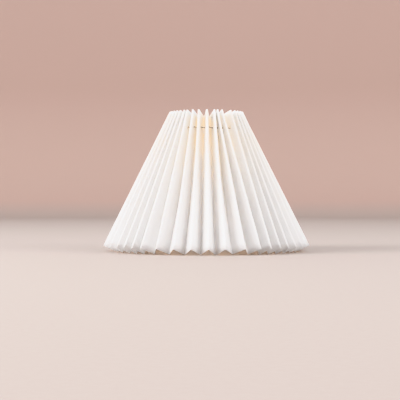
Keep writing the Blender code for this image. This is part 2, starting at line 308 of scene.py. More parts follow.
def settle(
    piece: bpy.types.Object, body: Body, slot: Slot, finish: bpy.types.Material, *nodes: str
) -> None:
    """Gives a piece its finish and its body, and hides the solids that it stands for.

    Args:
        piece: The piece.
        body: The body that it rides on.
        slot: Not used.
        finish: Its material.
        *nodes: The solids that it stands for, if any.
    """
    piece.data.materials.clear()
    piece.data.materials.append(finish)
    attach(piece, body.value)
    if nodes:
        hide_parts(*nodes)
    points, stood_for = len(piece.data.vertices), ", ".join(nodes) or "nothing"
    LOG.info("%s: %d points, stands for %s", piece.name, points, stood_for)


def box_of(node: str) -> tuple[np.ndarray, np.ndarray]:
    """A solid's lowest and highest corners."""
    low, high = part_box(node)
    return np.array(low), np.array(high)


class Graph:
    """A material's nodes, with a short way to add and link them."""

    def __init__(self, name: str) -> None:
        """Starts an empty material.

        Args:
            name: The material's name.
        """
        self.material = bpy.data.materials.new(name)
        self.material.use_nodes = True
        self.nodes = self.material.node_tree.nodes
        self.links = self.material.node_tree.links
        self.nodes.clear()

    def add(self, kind: str, inputs: dict | None = None, **settings: object) -> bpy.types.Node:
        """Adds a node.

        Args:
            kind: Its type, without the leading "ShaderNode".
            inputs: Values or other nodes' outputs, by the input's name or number.
            **settings: Properties of the node itself.

        Returns:
            The node.
        """
        made = self.nodes.new("ShaderNode" + kind)
        for key, value in settings.items():
            setattr(made, key, value)
        for key, value in (inputs or {}).items():
            if isinstance(value, bpy.types.NodeSocket):
                self.links.new(value, made.inputs[key])
            else:
                made.inputs[key].default_value = value
        return made

    def math(self, operation: str, *values: object) -> bpy.types.NodeSocket:
        """One step of arithmetic on sockets or numbers."""
        return self.add("Math", dict(enumerate(values)), operation=operation).outputs[0]

    def noise(
        self, place: bpy.types.NodeSocket, scale: float, detail: float = 2.0
    ) -> bpy.types.NodeSocket:
        """Noise between 0 and 1, at so many features to a metre."""
        inputs = {"Vector": place, "Scale": scale, "Detail": detail}
        return self.add("TexNoise", inputs).outputs[0]

    def scaled(
        self, place: bpy.types.NodeSocket, scale: tuple[float, float, float]
    ) -> bpy.types.NodeSocket:
        """A place with its three numbers multiplied."""
        return self.add("Mapping", {"Vector": place, "Scale": scale}).outputs[0]

    def between(self, factor: bpy.types.NodeSocket, low: float, high: float) -> bpy.types.NodeSocket:
        """A number taken from 0..1 to low..high."""
        return self.add("MapRange", {"Value": factor, "To Min": low, "To Max": high}).outputs[0]

    def rise(self, factor: bpy.types.NodeSocket, start: float, end: float) -> bpy.types.NodeSocket:
        """A number taken from start..end to 0..1."""
        return self.add("MapRange", {"Value": factor, "From Min": start, "From Max": end}).outputs[0]

    def ramp(self, factor: bpy.types.NodeSocket, *stops: tuple[float, tuple]) -> bpy.types.NodeSocket:
        """A colour that goes over from stop to stop.

        Args:
            factor: Where on the ramp, from 0 to 1.
            *stops: (place, colour) pairs, in order.

        Returns:
            The colour's socket.
        """
        made = self.add("ValToRGB", {"Fac": factor})
        elements = made.color_ramp.elements
        while len(elements) < len(stops):
            elements.new(0.5)
        for element, (place, colour) in zip(elements, stops):
            element.position = place
            element.color = (*colour, 1.0)
        return made.outputs[0]

    def mix(self, factor: bpy.types.NodeSocket, first: object, second: object) -> bpy.types.NodeSocket:
        """A colour between two.

        Args:
            factor: 0 for the first and 1 for the second.
            first: A socket or a colour.
            second: A socket or a colour.

        Returns:
            The colour's socket.
        """
        made = self.add("Mix", data_type="RGBA")
        for key, value in ((0, factor), (6, first), (7, second)):
            if isinstance(value, bpy.types.NodeSocket):
                self.links.new(value, made.inputs[key])
            else:
                made.inputs[key].default_value = (*value, 1.0)
        return made.outputs[2]

    def bump(
        self, height: bpy.types.NodeSocket, depth: float, strength: float = 1.0
    ) -> bpy.types.NodeSocket:
        """A bent normal from a height between 0 and 1, with that depth in metres."""
        return self.add("Bump", {"Height": height, "Distance": depth, "Strength": strength}).outputs[0]

    def principled(self, inputs: dict) -> bpy.types.NodeSocket:
        """The usual surface shader, with those inputs."""
        return self.add("BsdfPrincipled", inputs).outputs[0]

    def object_place(self) -> bpy.types.NodeSocket:
        """Where a point is on the object, in metres."""
        return self.add("TexCoord").outputs["Object"]

    def finish(self, shader: bpy.types.NodeSocket) -> bpy.types.Material:
        """Sends a shader to the output and returns the material."""
        self.add("OutputMaterial", {"Surface": shader})
        return self.material


# ---------------------------------------------------------------------------------------------
# Finishes
# ---------------------------------------------------------------------------------------------


@dataclass(frozen=True)
class SheetFinish:
    """Off-white laminated textile: a fine weave under a matte skin, which light comes through."""

    white: tuple = (0.94, 0.942, 0.945)
    # A darker tone, used for random mottling and as painted shade in the valleys.
    darker_tone_and_valley_shade: tuple = (0.915, 0.915, 0.912)
    # Painted highlight: the whiter colour laid along the ridge folds.
    ridge_highlight: tuple = (0.95, 0.95, 0.948)
    # Painted shade between the threads.
    shade_between_threads: tuple = (0.865, 0.863, 0.858)
    glow: tuple = (0.965, 0.955, 0.945)
    through: float = 0.50
    threads: float = 1 / (0.42 * MM)
    slub_stretch: float = 60.0
    weave_depth: float = 0.09 * MM
    mottle_scale: float = 38.0
    skin_scale: float = 900.0
    roughness: tuple = (0.52, 0.68)

    def weave(self, g: Graph, cut: bpy.types.NodeSocket) -> bpy.types.NodeSocket:
        """The height of a plain weave.

        The threads' rounds are |sin(pi u n)| and |sin(pi v n)|, and the product of the sines says
        which thread is on top. Drawn-out noise along each thread makes it uneven.

        Args:
            g: The material that it is part of.
            cut: The place on the flat sheet, in metres.

        Returns:
            The height's socket, mostly between 0 and 1.
        """
        part = g.add("SeparateXYZ", {0: cut}).outputs
        warp, weft = (g.math("SINE", g.math("MULTIPLY", axis, math.pi * self.threads)) for axis in part[:2])
        on_top = g.math("MULTIPLY_ADD", g.math("MULTIPLY", warp, weft), 0.5, 0.5)
        warp, weft = g.math("ABSOLUTE", warp), g.math("ABSOLUTE", weft)
        cloth = g.math("MULTIPLY_ADD", on_top, g.math("SUBTRACT", weft, warp), warp)
        slub_warp = g.noise(g.scaled(cut, (self.threads, self.slub_stretch, 1.0)), 1.0)
        slub_weft = g.noise(g.scaled(cut, (self.slub_stretch, self.threads, 1.0)), 1.0)
        return g.math("MULTIPLY", cloth, g.math("ADD", slub_warp, slub_weft))

    def build(self) -> bpy.types.Material:
        """Builds the material on the UV map "cut", in metres of flat sheet, and the fold attributes.

        Returns:
            The material.
        """
        g = Graph("pleated_sheet")
        cut = g.add("UVMap", uv_map="cut").outputs[0]
        ridge = g.add("Attribute", attribute_name="ridge").outputs["Fac"]
        valley = g.add("Attribute", attribute_name="valley").outputs["Fac"]
        weave = self.weave(g, cut)
        mottle = g.noise(cut, self.mottle_scale, 4.0)
        skin = g.noise(cut, self.skin_scale, 3.0)
        colour = g.ramp(mottle, (0.30, self.darker_tone_and_valley_shade), (0.62, self.white))
        # Painted highlight: whiter towards each ridge fold.
        colour = g.mix(g.math("MULTIPLY", ridge, 0.55), colour, self.ridge_highlight)
        # Painted shade: darker towards each valley fold.
        colour = g.mix(g.math("MULTIPLY", valley, 0.35), colour, self.darker_tone_and_valley_shade)
        # Painted shade: darker where the weave is low, between the threads.
        colour = g.mix(g.between(weave, 0.55, 0.0), colour, self.shade_between_threads)
        normal = g.bump(g.math("ADD", weave, g.math("MULTIPLY", skin, 0.25)), self.weave_depth)
        inputs = {"Base Color": colour, "Roughness": g.between(skin, *self.roughness), "Normal": normal}
        inputs |= {"Specular IOR Level": 0.32, "Sheen Weight": 0.12, "Sheen Roughness": 0.5}
        lit = g.add("BsdfTranslucent", {"Color": (*self.glow, 1.0), "Normal": normal}).outputs[0]
        both = g.add("MixShader", {0: self.through, 1: g.principled(inputs), 2: lit})
        return g.finish(both.outputs[0])


@dataclass(frozen=True)
class CoatedSteelFinish:
    """White powder coat on steel wire: a fine orange peel, a little thin and dirty in places."""

    white: tuple = (0.83, 0.82, 0.79)
    dull: tuple = (0.72, 0.70, 0.66)
    chip: tuple = (0.42, 0.41, 0.40)
    peel_scale: float = 1400.0
    peel_depth: float = 0.05 * MM
    patch_scale: float = 90.0
    chip_scale: float = 520.0
    roughness: tuple = (0.28, 0.48)

    def build(self) -> bpy.types.Material:
        """Builds the material on Object coordinates.

        Returns:
            The material.
        """
        g = Graph("powder_coat")
        place = g.object_place()
        patch = g.noise(place, self.patch_scale, 4.0)
        chips = g.rise(g.noise(place, self.chip_scale, 5.0), 0.71, 0.74)
        colour = g.mix(chips, g.ramp(patch, (0.35, self.dull), (0.55, self.white)), self.chip)
        peel = g.bump(g.noise(place, self.peel_scale), self.peel_depth, 0.6)
        inputs = {"Base Color": colour, "Roughness": g.between(patch, *self.roughness), "Normal": peel}
        return g.finish(g.principled(inputs | {"Coat Weight": 0.25, "Coat Roughness": 0.2}))


@dataclass(frozen=True)
class MouldedPlasticFinish:
    """White moulded plastic: a satin grain, faint turning marks and a slightly warm tint."""

    white: tuple = (0.86, 0.85, 0.81)
    warm: tuple = (0.82, 0.80, 0.74)
    grain_scale: float = 2600.0
    flow_scale: tuple = (60.0, 60.0, 400.0)
    ring_scale: float = 420.0
    depth: float = 0.03 * MM
    roughness: tuple = (0.38, 0.52)

    def build(self) -> bpy.types.Material:
        """Builds the material on Object coordinates.

        Returns:
            The material.
        """
        g = Graph("moulded_plastic")
        place = g.object_place()
        grain = g.noise(place, self.grain_scale)
        flow = g.noise(g.scaled(place, self.flow_scale), 1.0, 3.0)
        waves = {"Vector": place, "Scale": self.ring_scale, "Distortion": 0.4, "Detail": 1.0}
        rings = g.add("TexWave", waves, wave_type="RINGS", rings_direction="Z").outputs["Fac"]
        height = g.math("MULTIPLY_ADD", rings, 0.15, grain)
        inputs = {
            "Base Color": g.ramp(flow, (0.3, self.warm), (0.6, self.white)),
            "Roughness": g.between(grain, *self.roughness),
            "Subsurface Weight": 0.12,
            "Subsurface Radius": (0.004, 0.003, 0.002),
            "Normal": g.bump(height, self.depth, 0.7),
        }
        return g.finish(g.principled(inputs))


@dataclass(frozen=True)
class CottonFinish:
    """Natural cotton cord: fibres laid along three twisted strands."""

    # Both tones are darker than the cord's own cotton colour: painted shade for the shadowed valleys that
    # the cord crosses.
    light: tuple = (0.50, 0.45, 0.37)
    dark_tone_and_groove_shade: tuple = (0.32, 0.275, 0.22)
    fibre_scale: tuple = (26.0, 900.0, 1.0)
    tint_scale: tuple = (2.0, 120.0, 1.0)
    fibre_depth: float = 0.06 * MM
    roughness: tuple = (0.8, 0.95)

    def build(self) -> bpy.types.Material:
        """Builds the material on the UV map "lay": turns round the cord, and metres along it.

        Returns:
            The material.
        """
        g = Graph("cotton_string")
        lay = g.add("UVMap", uv_map="lay").outputs[0]
        groove = g.add("Attribute", attribute_name="groove").outputs["Fac"]
        fibres = g.noise(g.scaled(lay, self.fibre_scale), 1.0, 3.0)
        tint = g.noise(g.scaled(lay, self.tint_scale), 1.0)
        # Painted shade: darker in the grooves between the strands, over a random tone.
        colour = g.mix(groove, g.ramp(tint, (0.3, self.dark_tone_and_groove_shade), (0.6, self.light)), self.dark_tone_and_groove_shade)
        inputs = {
            "Base Color": colour,
            "Roughness": g.between(fibres, *self.roughness),
            "Specular IOR Level": 0.2,
            "Sheen Weight": 0.4,
            "Sheen Roughness": 0.4,
            "Normal": g.bump(fibres, self.fibre_depth),
        }
        return g.finish(g.principled(inputs))


@dataclass(frozen=True)
class TapeFinish:
    """Double-sided tape: clear film gone slightly yellow, with small bubbles in its glue."""

    film: tuple = (0.80, 0.76, 0.64)
    bubble: tuple = (0.90, 0.88, 0.80)
    bubble_scale: float = 700.0
    bubble_depth: float = 0.02 * MM
    haze_scale: float = 160.0
    roughness: tuple = (0.2, 0.4)

    def build(self) -> bpy.types.Material:
        """Builds the material on Object coordinates.

        Returns:
            The material.
        """
        g = Graph("seam_tape")
        place = g.object_place()
        cells = g.add("TexVoronoi", {"Vector": place, "Scale": self.bubble_scale}).outputs["Distance"]
        haze = g.noise(place, self.haze_scale, 3.0)
        inputs = {
            "Base Color": g.mix(g.rise(cells, 0.12, 0.22), self.bubble, self.film),
            "Roughness": g.between(haze, *self.roughness),
            "Normal": g.bump(cells, self.bubble_depth, 0.5),
        }
        return g.finish(g.principled(inputs))


# ---------------------------------------------------------------------------------------------
# The pleated sheet
# ---------------------------------------------------------------------------------------------


@dataclass(frozen=True)
class Pleating:
    """How the flat sheet is folded and drawn into a cone.

    A place on the sheet is (panel, along, station): the panel's number from the seam, the metres of
    sheet from the fold where the panel starts, and 0 at the rim to 1 at the crown. Ridge k is the
    fold where panel 2k starts, and valley k is the fold where it ends.
    """

    pleats: int = 42
    rim_radius: float = 0.125
    crown_radius: float = 0.0445
    height: float = 0.1809
    panel_width: float = 0.0172
    fold_radius: float = 0.0007
    lap: float = 0.00125
    seam_azimuth: float = math.radians(90)
    front_creep_deg: tuple = (
        (3.2, -0.7),
        (1.6, -0.7),
        (-0.4, -1.9),
        (-2.6, -2.3),
        (-1.4, -5.2),
        (-0.3, -4.4),
        (0.4, -3.6),
        (0.9, 0.7),
        (1.0, 3.9),
        (2.9, 0.2),
        (3.3, -1.0),
        (1.5, 6.4),
        (-0.4, 7.3),
        (-2.6, 6.3),
        (-3.8, 7.0),
    )
    back_creep_deg: float = 1.1
    back_creep_turn: float = 2.3
    bow: float = 0.30 * MM
    seed: int = 11
    halvings: int = 36
    slope_step: float = 0.05 * MM

    @property
    def sin_slope(self) -> float:
        """The sine of the cone's half angle."""
        return (self.rim_radius - self.crown_radius) / self.height

    @property
    def cos_slope(self) -> float:
        """The cosine of the cone's half angle."""
        return math.sqrt(1 - self.sin_slope**2)

    @property
    def panels(self) -> int:
        """Every panel, and the flap that laps the first."""
        return 2 * self.pleats + 1

    def creep(self, ridge: np.ndarray, end: int) -> np.ndarray:
        """How far each ridge has crept from even spacing, in radians.

        Near the front it is as listed. From there to the seam the last listed value fades as
        (1 + cos(pi w)) / 2, and a wave sin(pi w) sin(turn (k + 3 end)) is added, with w from 0 to 1.

        Args:
            ridge: Ridge numbers from the seam.
            end: 0 at the rim and 1 at the crown.

        Returns:
            The angles, positive towards +X at the front.
        """
        listed = np.array(self.front_creep_deg)[:, end]
        edge, half = len(listed) // 2, self.pleats // 2
        from_front = ridge - half
        near = np.clip(from_front, -edge, edge)
        way = np.clip((np.abs(from_front) - edge) / (half - edge), 0, 1)
        fade = (1 + np.cos(math.pi * way)) / 2
        wave = np.sin(self.back_creep_turn * (ridge + 3 * end)) * np.sin(math.pi * way)
        return np.radians(listed[near + edge] * fade + self.back_creep_deg * wave)

    def ridge_point(self, ridge: np.ndarray, station: np.ndarray) -> np.ndarray:
        """Points of the ridge folds, which are straight from the rim to the crown.

        Args:
            ridge: Ridge numbers from the seam.
            station: 0 at the rim to 1 at the crown.

        Returns:
            The points.
        """
        even = self.seam_azimuth + TAU * ridge / self.pleats
        rim = around(even + self.creep(ridge, 0), self.rim_radius, 0.0)
        crown = around(even + self.creep(ridge, 1), self.crown_radius, self.height * self.cos_slope)
        way = np.asarray(station)[..., None]
        return rim * (1 - way) + crown * way

    def steepness(self, half_pitch: np.ndarray) -> np.ndarray:
        """The angle a between a panel and the line from ridge to ridge.

        The sheet bends by a round a fold of radius r, runs straight and bends back, so that its
        width w spans the half pitch: 2 r sin(a) + (w - 2 r a) cos(a). Halving the interval finds a.

        Args:
            half_pitch: Half of the distance from ridge to ridge.

        Returns:
            The angles, in radians.
        """
        low = np.zeros_like(half_pitch)
        high = np.full_like(half_pitch, math.pi / 2)
        r, w = self.fold_radius, self.panel_width
        for _ in range(self.halvings):
            middle = (low + high) / 2
            wide = 2 * r * np.sin(middle) + (w - 2 * r * middle) * np.cos(middle) > half_pitch
            low, high = np.where(wide, middle, low), np.where(wide, high, middle)
        return low

    def across_pleat(
        self, first: np.ndarray, second: np.ndarray, reach: np.ndarray, far: np.ndarray
    ) -> np.ndarray:
        """Points across a pleat, from the ridge points on its two sides.

        From a ridge the sheet has gone x = r sin(s/r), y = r (1 - cos(s/r)) at arc length s round
        the fold, then straight on at the angle a, and it is the same seen from the valley.

        Args:
            first: The ridge points before the pleat.
            second: The ridge points after it.
            reach: Metres of sheet from the nearer ridge.
            far: Whether that ridge is the second one.

        Returns:
            The points.
        """
        span = second - first
        across = unit(span)
        half = np.linalg.norm(span, axis=-1) / 2
        a = self.steepness(half)
        r, w = self.fold_radius, self.panel_width
        middle = (first + second) / 2
        out = unit(middle * (1.0, 1.0, 0.0))
        inward = -(out * self.cos_slope + UP * self.sin_slope)
        depth = 2 * r * (1 - np.cos(a)) + (w - 2 * r * a) * np.sin(a)

        def from_fold(s: np.ndarray) -> tuple[np.ndarray, np.ndarray]:
            """Where the sheet is at arc length s from a fold.

            Args:
                s: Metres of sheet from the fold.

            Returns:
                (sideways, inwards).
            """
            bent = np.minimum(s / r, a)
            run = np.maximum(s - r * a, 0)
            return r * np.sin(bent) + run * np.cos(a), r * (1 - np.cos(bent)) + run * np.sin(a)

        x_ridge, y_ridge = from_fold(reach)
        x_valley, y_valley = from_fold(w - reach)
        near_ridge = reach < w / 2
        x = np.where(near_ridge, x_ridge, half - x_valley)
        y = np.where(near_ridge, y_ridge, depth - y_valley)
        start = np.where(far[..., None], second, first)
        way = np.where(far, -1.0, 1.0)
        return start + (way * x)[..., None] * across + y[..., None] * inward

    def rising(self, pleat: np.ndarray, station: np.ndarray) -> np.ndarray:
        """From the rim's end of a pleat's first ridge to the crown's, once for each station."""
        rim, crown = np.zeros_like(station), np.ones_like(station)
        return self.ridge_point(pleat, crown) - self.ridge_point(pleat, rim)

    def panel_normal(self, station: np.ndarray) -> np.ndarray:
        """The first panel's outer normal.

        Args:
            station: 0 at the rim to 1 at the crown.

        Returns:
            A unit vector for each station.
        """
        zero, one = np.zeros_like(station, int), np.ones_like(station, int)
        first, second = self.ridge_point(zero, station), self.ridge_point(one, station)
        near = np.zeros_like(station, bool)
        fold = self.fold_radius * self.steepness(np.linalg.norm(second - first, axis=-1) / 2)
        start = self.across_pleat(first, second, fold, near)
        end = self.across_pleat(first, second, self.panel_width - fold, near)
        return unit(np.cross(end - start, self.rising(zero, station)))

    def bowing(self, panel: np.ndarray, along: np.ndarray, station: np.ndarray) -> np.ndarray:
        """How far a panel stands out from flat, towards +along's right, in metres.

        Each panel has two seeded numbers p and q, and stands out by
        bow sin^2(pi along / width) (p sin(pi station) + q sin(2 pi station)).

        Args:
            panel: Panel numbers.
            along: Metres of sheet from the fold where the panel starts.
            station: 0 at the rim to 1 at the crown.

        Returns:
            The distances.
        """
        draws = np.random.default_rng(self.seed).uniform(-1, 1, (self.panels, 2))
        draws[0] = draws[-1] = 0
        p, q = draws[panel, 0], draws[panel, 1]
        lengthwise = p * np.sin(math.pi * station) + q * np.sin(2 * math.pi * station)
        return self.bow * np.sin(math.pi * along / self.panel_width) ** 2 * lengthwise

    def surface(self, panel: np.ndarray, along: np.ndarray, station: np.ndarray) -> np.ndarray:
        """Points at the middle of the sheet's thickness.

        Args:
            panel: Panel numbers, the flap's being 2 x pleats.
            along: Metres of sheet from the fold where the panel starts.
            station: 0 at the rim to 1 at the crown.

        Returns:
            The points, with height 0 where the ridge folds meet the rim.
        """
        panel, along, station = np.broadcast_arrays(panel, along, station)
        flap = panel == 2 * self.pleats
        pleat = np.where(flap, 0, panel // 2)
        shift = -self.lap * self.panel_normal(station)
        first = self.ridge_point(pleat, station)
        after = (pleat + 1) % self.pleats
        second = self.ridge_point(after, station)
        second = np.where((pleat == self.pleats - 1)[..., None], second + shift, second)
        far = (panel % 2 == 1) & ~flap
        reach = np.where(far, self.panel_width - along, along)
        points = self.across_pleat(first, second, reach, far)
        ahead, behind = (
            self.across_pleat(first, second, np.clip(reach + step, 0, self.panel_width), far)
            for step in (self.slope_step, -self.slope_step)
        )
        onward = np.where(far[..., None], behind - ahead, ahead - behind)
        normal = unit(np.cross(onward, self.rising(pleat, station)))
        points = points + self.bowing(panel, along, station)[..., None] * normal
        return points + np.where(flap[..., None], shift, 0.0)

    def valley_point(self, valley: np.ndarray, station: np.ndarray) -> np.ndarray:
        """Points of the valley folds."""
        return self.surface(2 * valley, np.full(np.shape(station), self.panel_width), station)


@dataclass
class PleatedSkirt:
    """The strip itself: a grid over the flat sheet, punched for the string."""

    pleating: Pleating
    thickness: float = 0.00045
    hole_radius: float = 0.0016
    hole_below_crown: float = 0.0200
    hole_cell: float = 0.0008
    fold_columns: int = 3
    ridge_reach: float = 1.1 * MM
    valley_reach: float = 1.6 * MM
    flat: tuple = field(init=False)
    lift: float = field(init=False)

    def __post_init__(self) -> None:
        """Works out the flat size, and the lift that puts the rim's lowest tips on the ground."""
        p = self.pleating
        self.flat = (p.panels * p.panel_width, p.height)
        valleys = p.valley_point(np.arange(p.pleats), np.zeros(p.pleats))
        self.lift = -float(valleys[:, 2].min()) + self.thickness / 2 * p.sin_slope

    @property
    def hole_station(self) -> float:
        """The station of the holes' centres."""
        return 1 - self.hole_below_crown / self.pleating.height

    def cuts_along(self) -> np.ndarray:
        """Where a panel's columns are: close at its folds and at the hole.

        Returns:
            Metres from the panel's start.
        """
        w, c = self.pleating.panel_width, self.hole_cell
        fold = np.array([0.0, 0.3, 0.65, 1.05, 2.2]) * MM
        side = np.array([4.4 * MM, w / 2 - 3.4 * c])
        half = np.concatenate([fold, side, w / 2 + np.array([-2.0, -1.0]) * c])
        return np.concatenate([half, [w / 2], (w - half)[::-1]])

    def cuts_up(self) -> np.ndarray:
        """Where the rows are: at even steps, and close at the holes.

        Returns:
            The rows' stations.
        """
        at, h, c = self.hole_station, self.pleating.height, self.hole_cell
        near = at + np.array([-6.6, -3.6, -2.0, -1.0, 0.0, 1.0, 2.0, 3.6, 6.6]) * c / h
        below = np.linspace(0.0, near[0], 19)[:-1]
        above = np.linspace(near[-1], 1.0, 5)[1:]
        return np.concatenate([below, near, above])

    def punched_grid(self) -> tuple[np.ndarray, np.ndarray, np.ndarray, np.ndarray]:
        """The grid over the flat sheet, with its holes.

        There is a row for each station and a column for each cut of each panel. Round every hole's
        centre the 16 points two cells away go onto the hole's circle, and the cells inside are left
        out. The first panel starts, and the flap ends, where the fold would begin.

        Returns:
            (panel, metres along it, station) for each point, and four point numbers to a face.
        """
        p, cuts, stations = self.pleating, self.cuts_along(), self.cuts_up()
        panel = np.append(np.repeat(np.arange(p.panels), len(cuts) - 1), p.panels - 1)
        along = np.append(np.tile(cuts[:-1], p.panels), cuts[-1])
        keep = slice(self.fold_columns, len(panel) - self.fold_columns)
        panel, along = panel[keep], along[keep]
        rows, columns = len(stations), len(panel)
        spread = np.broadcast_arrays(panel[None], along[None], stations[:, None])
        panels, alongs, ups = (np.array(values) for values in spread)
        row = int(np.argmin(np.abs(stations - self.hole_station)))
        middles = np.flatnonzero(np.isclose(along, p.panel_width / 2))
        two_away = [(r, c) for r in range(-2, 3) for c in range(-2, 3) if max(abs(r), abs(c)) == 2]
        for r, c in two_away:
            angle = math.atan2(r, c)
            alongs[row + r, middles + c] = p.panel_width / 2 + self.hole_radius * math.cos(angle)
            ups[row + r, middles + c] = self.hole_station + self.hole_radius * math.sin(angle) / p.height
        kept = np.ones((rows - 1, columns - 1), bool)
        for r in range(-2, 2):
            for c in range(-2, 2):
                kept[row + r, middles + c] = False
        faces = grid_faces(rows, columns).reshape(rows - 1, columns - 1, 4)[kept]
        used, faces = np.unique(faces, return_inverse=True)
        return panels.ravel()[used], alongs.ravel()[used], ups.ravel()[used], faces.reshape(-1, 4)

    def build(self, finish: bpy.types.Material) -> None:
        """Builds the sheet, with its flat place and how near each point is to a fold.

        At a distance d from a ridge or valley its attribute is exp(-(d / reach)^2).

        Args:
            finish: Its material.
        """
        p = self.pleating
        panel, along, station, faces = self.punched_grid()
        points = p.surface(panel, along, station) + UP * self.lift
        piece = make_piece("pleated_sheet", points, faces, sharp_deg=75)
        add_uv(piece, "cut", panel * p.panel_width + along, station * p.height)
        odd, to_end = panel % 2 == 1, p.panel_width - along
        to_ridge, to_valley = np.where(odd, to_end, along), np.where(odd, along, to_end)
        # The ridge and valley numbers carry the sheet's painted highlight and painted shade.
        add_attribute(piece, "ridge", np.exp(-((to_ridge / self.ridge_reach) ** 2)))
        add_attribute(piece, "valley", np.exp(-((to_valley / self.valley_reach) ** 2)))
        solidify(piece, self.thickness)
        settle(piece, Body.SHADE, Slot.SHEET, finish, "pleated_skirt")

    def hole_centres(self) -> np.ndarray:
        """The centres of the string's holes.

        Returns:
            A point for each panel.
        """
        p = self.pleating
        panel, middle = np.arange(p.panels), np.full(p.panels, p.panel_width / 2)
        return p.surface(panel, middle, np.full(p.panels, self.hole_station)) + UP * self.lift


@dataclass
class SeamTape:
    """The tape between the first panel and the flap."""

    skirt: PleatedSkirt
    thickness: float = 0.0002
    top_below_crown: float = 0.0290
    bottom_station: float = 0.004
    from_folds: float = 1.3 * MM

    def build(self, finish: bpy.types.Material) -> None:
        """Builds the strip: the first panel's own surface, half a lap further in.

        Args:
            finish: Its material.
        """
        p = self.skirt.pleating
        rows = np.linspace(self.bottom_station, 1 - self.top_below_crown / p.height, 30)
        columns = np.linspace(self.from_folds, p.panel_width - self.from_folds, 8)
        station, along = np.meshgrid(rows, columns, indexing="ij")
        points = p.surface(np.zeros_like(station, int), along, station) + UP * self.skirt.lift
        points -= p.lap / 2 * p.panel_normal(station)
        piece = make_piece("tape_strip", points, grid_faces(*station.shape))
        solidify(piece, self.thickness)
        settle(piece, Body.SHADE, Slot.TAPE, finish, "seam_tape")


# ---------------------------------------------------------------------------------------------
# The string
# ---------------------------------------------------------------------------------------------


